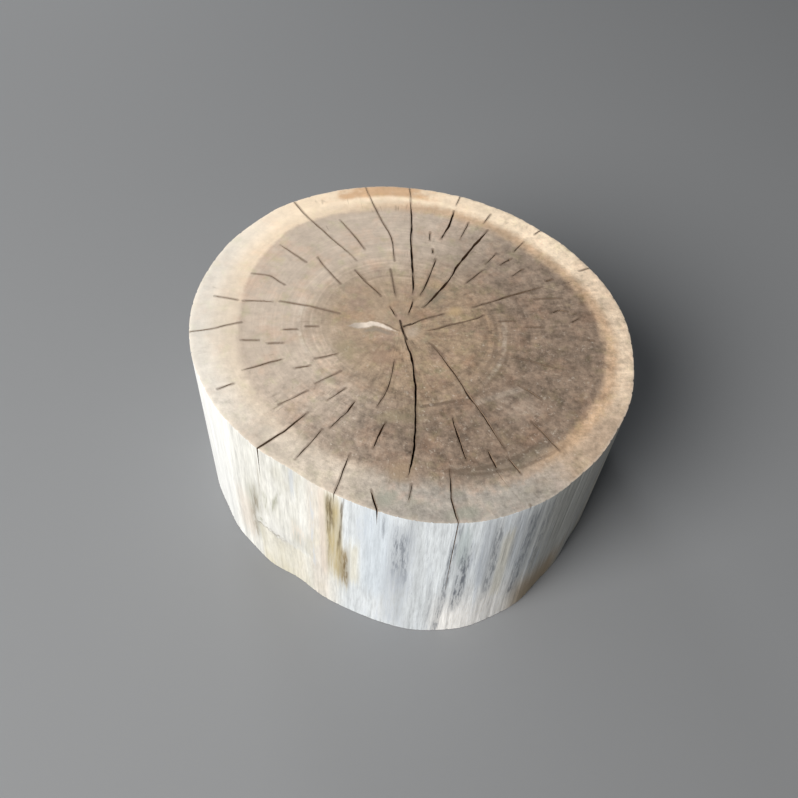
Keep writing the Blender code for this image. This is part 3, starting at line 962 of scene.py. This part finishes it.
spare, place, (x, y, z) = start_finish(debarked)
dx, dy = from_trunk_line(x, y, z, -CENTRE)
around = spare.maths("ARCTAN2", dy, dx) * (180 / math.pi)
swirl_x, swirl_z = (around + 127.0) * 3.5, z - 98.0
swirl = (swirl_x * swirl_x + swirl_z * swirl_z).root().rise(62.0, 6.0)
fibre_place = spare.vector(dx, dy, z * 0.040 + swirl * 5.0)
drift = fibre_place.grain(1 / 30, 3, 0.55)
streaks = fibre_place.grain(1 / 8, 3, 0.60)
lines = spare.vector(dx, dy, z * 0.035 + swirl * 3.0).grain(1 / 2.6, 3, 0.65)
dashes = spare.vector(dx, dy, z * 0.11 + swirl * 3.0).grain(1 / 2.0, 3, 0.65)
blotch = spare.vector(dx, dy, z * 0.35).grain(1 / 24, 3, 0.6)
seen_front = around.rise(-112.0, -98.0) * around.rise(-20.0, -40.0)
seen_left = around.rise(-170.0, -155.0) * around.rise(-98.0, -112.0)


def strip(bearing, half, soft, low=-30.0, high=270.0, fade=14.0, lean=0.0):
    """A strip down the side from 0 to 1: bearing and half width in degrees, and its lowest and highest z."""
    from_middle = (around - bearing - (z - 110.0) * lean + streaks * 0.5 + lines * 0.45).size()
    height_ragged = z + lines * 22.0
    within = height_ragged.rise(low - fade, low + fade) * height_ragged.rise(high + fade, high - fade)
    return from_middle.rise(half + soft, half * 0.6) * within


whiter = (drift * 0.5 + seen_front * 1.4 - seen_left * 1.2 + 0.1).rise(-0.5, 0.8)
tone = whiter.between(SIDE_IVORY, SIDE_WHITE)
peach = drift.rise(0.15, 0.8) * (0.40 - seen_front * 0.22) + strip(-112, 2.4, 2.0) * 0.42
tone = tone.into(SIDE_PEACH, peach)
tone = tone.into(SIDE_YELLOW, (blotch - seen_front).rise(0.1, 0.8) * 0.4)
tone = tone.into(SIDE_PALE, around.rise(-138.0, -150.0) * 0.85)
misty = around.rise(-140.0, -134.0) * around.rise(-108.0, -116.0)
tone = tone.into(MOULD_MIST, (blotch * 1.1 + drift * 0.7 + streaks * 0.2).rise(-0.3, 0.6) * misty * 0.50)
low_cream = around.rise(-82.0, -76.0) * around.rise(-44.0, -54.0) * (z + blotch * 30.0).rise(120.0, 20.0)
tone = tone.into(SIDE_CREAM, low_cream * 0.85)
# The right of the side, from about -46 to 0 degrees, is tinted warmer and darker: partly its own warmer tone,
# partly painted shade where the lamp barely reaches.
painted_shade_side = around.rise(-62.0, -46.0) * around.rise(0.0, -20.0)
tone = tone.tinted(SIDE_WARM_SHADE, painted_shade_side)

# Mould: pale bands, thicker to the right of the long split, and dark dashes within them
right_bands = around.rise(-79.0, -73.0) * around.rise(40.0, -20.0)
mould = (streaks + drift * 0.4).rise(0.12, 0.85) * (0.26 + seen_front * 0.42 + right_bands * 0.36)
mould = mould * (1.0 - seen_left * 0.6) * (1.0 - low_cream * 0.75)
tone = tone.into(MOULD_PALE, mould)
fine_mould = (dashes * 0.8 + streaks * 0.5).rise(0.30, 0.62) * (0.16 + seen_front * 0.30)
tone = tone.into(MOULD_DARK, fine_mould * (1.0 - seen_left * 0.65))
dabs = (blotch * 0.6 + streaks * 0.7 + dashes * 0.3).rise(0.12, 0.75) * (z + lines * 20.0).rise(62.0, 22.0)
tone = tone.into(MOULD_PALE, dabs * seen_front * (1.0 - right_bands) * 0.6)
# Painted light: the band from about -76 to -60 degrees, just before the side turns into shade, is brightened
# by up to 18 percent.
painted_light_band = 1.0 + around.rise(-86.0, -76.0) * around.rise(-50.0, -60.0) * 0.18
marked = 1.0 - around.rise(-138.0, -150.0) * 0.45
mottling = streaks * 0.22 + lines * 0.12 + dashes * 0.16 + drift * 0.14 + blotch * 0.11
tone = tone.scaled((1.0 + mottling * marked) * painted_light_band)

# Named marks, from the left to the right as they are seen in front
broken = (dashes * 0.9 + lines * 0.6).rise(-0.28, 0.36)
# Each row: its colour, strip's bearing, half width, soft edge, lowest and highest z and fade, how much of it
# is even and how much patchy, and its lean
LEFT_MARKS = (
    (MOULD_OLIVE, -135.0, 2.2, 3.0, 46, 146, 20, 0.2, 0.35),
    (MOULD_BROWN, -134.2, 0.9, 1.4, 88, 140, 16, 0.15, 0.75),
    (MOULD_BROWN, -135.8, 0.9, 1.4, 44, 98, 12, 0.15, 0.7),
    (MOULD_BROWN, -131.6, 0.2, 0.5, 96, 216, 12, 0, 0.5),
    (SIDE_PEACH, -139.5, 2.5, 3.0, 30, 110, 20, 0.45, 0),
    (MOULD_OLIVE, -129.2, 0.30, 0.8, 118, 154, 8, 0, 0.8, -0.016),
    (MOULD_OLIVE, -128.9, 0.35, 0.9, 126, 168, 8, 0, 0.82, 0.072),
    (MOULD_PALE, -120.0, 0.5, 0.9, 175, 224, 10, 0.6, 0),
    (MOULD_PALE, -113.6, 0.35, 0.6, 55, 212, 10, 0, 0.7),
    (SIDE_PEACH, -110.4, 0.7, 0.9, 60, 222, 14, 0.55, 0),
)
RIGHT_MARKS = (
    (STRAND, -107.9, 0.8, 1.2, 160, 219, 10, 0.3, 0.55),
    (STRAND, -108.6, 0.4, 0.9, 84, 166, 20, 0, 0.5),
    (STRAND, -105.9, 0.18, 0.45, 128, 216, 10, 0.5, 0.4, 0.017),
    (STRAND_BROWN, -104.0, 1.0, 1.2, 62, 132, 16, 0.42, 0.5),
    (STRAND, -103.4, 0.3, 0.6, 66, 112, 10, 0, 0.6),
    (SIDE_YELLOW, -100.9, 0.8, 1.6, 70, 150, 16, 0.5, 0),
    (MOULD_PALE, -99.6, 0.5, 0.8, 150, 214, 12, 0, 0.7),
    (MOULD_PALE, -97.9, 0.25, 0.5, 170, 224, 12, 0, 0.7),
    (MOULD_BLUE, -95.0, 3.0, 2.5, 60, 226, 24, 0.5, 0),
    (MOULD_DARK, -93.2, 0.25, 0.5, 185, 226, 10, 0, 0.6),
    (MOULD_PALE, -88.4, 2.4, 2.2, 84, 206, 24, 0.4, 0.45),
    (MOULD_DARK, -88.9, 1.3, 1.8, 108, 200, 20, 0.14, 0.66),
    (MOULD_DARK, -87.2, 0.4, 0.8, 92, 150, 18, 0, 0.6),
    (MOULD_PALE, -89.5, 2.2, 2.2, 10, 130, 18, 0.15, 0.6),
    (MOULD_GREEN, -73.6, 1.2, 1.3, 148, 212, 12, 0.65, 0),
    (MOULD_DARK, -76.6, 0.5, 1.0, 0, 226, 12, 0.2, 0.6, 0.0108),
    (MOULD_DARK, -80.2, 0.3, 0.8, 10, 120, 20, 0, 0.45),
    (MOULD_DARK, -72.9, 1.0, 1.4, 56, 172, 18, 0.22, 0.72, 0.010),
    (MOULD_PALE, -68.0, 0.9, 1.4, 100, 224, 14, 0.55, 0),
    (MOULD_DARK, -65.2, 0.8, 1.4, 76, 212, 20, 0.1, 0.65),
    (MOULD_PALE, -60.0, 1.2, 1.6, 120, 224, 20, 0.6, 0),
    (SIDE_YELLOW, -62.3, 1.0, 1.4, 60, 190, 14, 0.45, 0),
    (MOULD_DARK, -56.4, 1.1, 1.8, 36, 216, 18, 0.34, 0.5, 0.006),
    (MOULD_DARK, -51.8, 0.7, 1.4, 60, 216, 20, 0, 0.6),
    (SIDE_TAN, -46.0, 8.0, 6.0, -20, 56, 30, 0.9, 0),
    (SIDE_TAN, 35.0, 7.0, 6.0, -20, 60, 22, 0.35, 0),
    (MOULD_BROWN, 112.0, 1.6, 2.0, 60, 190, 18, 0.2, 0.4),
    (OCHRE, 142.0, 1.6, 1.6, 20, 170, 18, 0.5, 0),
)


def marked_side(tone, rows):
    """The side's colour with a table of marks drawn over it."""
    for colour, bearing, half, soft, low, high, fade, even, patchy, *lean in rows:
        drawn = strip(bearing, half, soft, low, high, fade, *lean)
        tone = tone.into(colour, drawn * (broken * patchy + even))
    return tone


# The ochre streak between the two tables follows the fibres
tone = marked_side(tone, LEFT_MARKS)
tone = tone.into(OCHRE, strip(-107.0, 2.0, 1.4, 74, 222, 26) * (0.82 + lines * 0.45))
tone = tone.into(OCHRE, strip(-104.6, 1.2, 1.6, 52, 138, 22) * (0.55 + lines * 0.5))
tone = marked_side(tone, RIGHT_MARKS)

# The swirl where the grain runs round a branch stub: a broken dark line, pale above it and yellow below
swirl_share = (around + 134.5) / 11.5
knotty = spare.vector(dx, dy, z).grain(1 / 7, 3, 0.6)
swirl_line = 80.0 + swirl_share * 8.0 + knotty * 11.0 - (swirl_share - 0.3).size() * 16.0
off_line = z - swirl_line
near = swirl_share.rise(-0.05, 0.08) * swirl_share.rise(1.05, 0.75)
tone = tone.into(SWIRL_PALE, off_line.rise(1.0, 6.0) * off_line.rise(40.0, 14.0) * near * 0.6)
line_show = (0.5 + knotty * 0.8 + lines * 0.4) * 0.9
tone = tone.into(MOULD_BROWN, off_line.size().rise(4.6, 0.8) * near * line_show)
near_start = swirl_share.rise(0.0, 0.1) * swirl_share.rise(0.5, 0.3)
tone = tone.into(MOULD_OLIVE, (off_line - 12.0).size().rise(6.0, 1.0) * near_start * broken * 0.7)
below = off_line.rise(2.0, -6.0) * swirl_share.rise(0.0, 0.15) * swirl_share.rise(2.0, 1.2)
tone = tone.into(SIDE_YELLOW, below * (0.35 + blotch * 0.2))
tone = tone.into(SIDE_PEACH, strip(-119.0, 1.6, 1.6, 96, 126, 8) * broken * 0.7)
tone = tone.scaled(1.0 + (streaks * 0.07 + lines * 0.07 + dashes * 0.10) * marked)
height = streaks * 0.5 + lines * 0.4 + drift * 0.3
end_finish(spare, tone, 0.62 + streaks * 0.05 + mould * 0.1, height, 0.35)

# One map for baking: the top seen from above, the foot beside it, and the side in two strips below them.
MAP_CELLS = 1024
ROUND_WIDTH = 436 * MM
TOP_SCALE = 609 / MAP_CELLS / ROUND_WIDTH
FOOT_SCALE = 392 / MAP_CELLS / ROUND_WIDTH
MARGIN = 4 / MAP_CELLS
STRIP_HIGH = 198 / MAP_CELLS
layout = data.uv_layers.new(name="OFBake")
corner_points = np.empty(len(data.loops), dtype=np.int32)
data.loops.foreach_get("vertex_index", corner_points)
face_sizes = np.array([face.loop_total for face in data.polygons])
slots = np.empty(len(data.polygons), dtype=np.int32)
data.polygons.foreach_get("material_index", slots)
centres = np.empty(len(data.polygons) * 3)
data.polygons.foreach_get("center", centres)
centres = centres.reshape(-1, 3)
is_side = slots == SIDE_SLOT
is_top = ~is_side & (centres[:, 2] > HEIGHT / 2)
front_half = np.arctan2(centres[:, 1], centres[:, 0]) < 0
spread = np.repeat(np.arange(len(data.polygons)), face_sizes)
here = spots[corner_points]
turn = np.arctan2(here[:, 1], here[:, 0])
half_of = np.where(front_half[spread], -math.pi, 0.0)
turn = (turn - half_of + math.pi / 2) % math.tau - math.pi / 2
strip_u = MARGIN * 2 + turn / math.pi * (1 - MARGIN * 4)
strip_v = MARGIN + np.where(front_half[spread], STRIP_HIGH + 2 * MARGIN, 0) + here[:, 2] / HEIGHT * STRIP_HIGH
top_uv = np.array((MARGIN, 1 - MARGIN)) + (here[:, :2] - (LOW.x, HIGH.y)) * TOP_SCALE
foot_uv = np.array((1 - MARGIN, 1 - MARGIN)) + (here[:, :2] - (HIGH.x, HIGH.y)) * FOOT_SCALE
uv = np.where(is_top[spread, None], top_uv, foot_uv)
uv = np.where(is_side[spread, None], np.stack([strip_u, strip_v], 1), uv)
layout.data.foreach_set("uv", uv.ravel())

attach(block, "root")
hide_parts("log_round")

# The studio: a pale floor, one wide soft lamp high at the front left, a weak one low behind that only the
# back of the block sees, a faint fill, and the camera at the photograph's angle.
EYE = np.array((-7.6, -504.6, 841.8)) * MM
LOOK_DOWN = math.radians(55.57)
CAMERA_ROLL = math.radians(5.2)
SENSOR = 36
PICTURE_WIDTH = 798
FOCAL_LENGTH = 850 / PICTURE_WIDTH * SENSOR
FLOOR_SIZE = 12
FLOOR_GREY = (0.225, 0.231, 0.238, 1)
FLOOR_ROUGHNESS = 0.9
LAMP_FROM = Vector((-0.53, -0.53, 0.66)).normalized()
LAMP_DISTANCE = 3.6
LAMP_SIZE = 2.35
LAMP_POWER = 192
LAMP_TINT = (1.0, 0.985, 0.965)
REAR_FROM = Vector((-0.46, 0.87, 0.15)).normalized()
REAR_DISTANCE = 3.4
REAR_SIZE = 1.0
REAR_POWER = 46
REAR_TINT = (0.96, 0.98, 1.0)
FILL = 0.095
FILL_TINT = (0.93, 0.96, 1.0, 1)

bpy.ops.mesh.primitive_plane_add(size=FLOOR_SIZE, location=(0, 0, 0))
floor = bpy.context.object
floor.name = "studio_floor"
floor_paint = bpy.data.materials.new("studio_floor")
floor_paint.use_nodes = True
shader = floor_paint.node_tree.nodes["Principled BSDF"]
shader.inputs["Base Color"].default_value = FLOOR_GREY
shader.inputs["Roughness"].default_value = FLOOR_ROUGHNESS
floor.data.materials.append(floor_paint)


def add_lamp(name, toward_lamp, distance, size, power, colour):
    """A round soft lamp that faces the block and isn't seen itself."""
    bpy.ops.object.light_add(type="AREA", location=Vector((0, 0, HEIGHT / 2)) + toward_lamp * distance)
    lamp = bpy.context.object
    lamp.name = name
    lamp.rotation_euler = toward_lamp.to_track_quat("Z", "Y").to_euler()
    lamp.data.shape = "DISK"
    lamp.data.size = size
    lamp.data.energy = power
    lamp.data.color = colour
    lamp.visible_camera = False


add_lamp("soft_lamp", LAMP_FROM, LAMP_DISTANCE, LAMP_SIZE, LAMP_POWER, LAMP_TINT)
add_lamp("rear_lamp", REAR_FROM, REAR_DISTANCE, REAR_SIZE, REAR_POWER, REAR_TINT)

sky = bpy.data.worlds.new("studio_fill")
sky.use_nodes = True
sky.node_tree.nodes["Background"].inputs["Color"].default_value = FILL_TINT
sky.node_tree.nodes["Background"].inputs["Strength"].default_value = FILL
bpy.context.scene.world = sky
bpy.context.scene.view_settings.view_transform = "Standard"

lens = bpy.data.cameras.new("photo_view")
lens.sensor_width = SENSOR
lens.lens = FOCAL_LENGTH
camera = bpy.data.objects.new("photo_view", lens)
bpy.context.collection.objects.link(camera)
stand = Vector((EYE[0] - CENTRE[0], EYE[1] - CENTRE[1], EYE[2]))
tilt = Matrix.Rotation(math.pi / 2 - LOOK_DOWN, 4, "X") @ Matrix.Rotation(CAMERA_ROLL, 4, "Z")
camera.matrix_world = Matrix.Translation(stand) @ tilt
bpy.context.scene.camera = camera
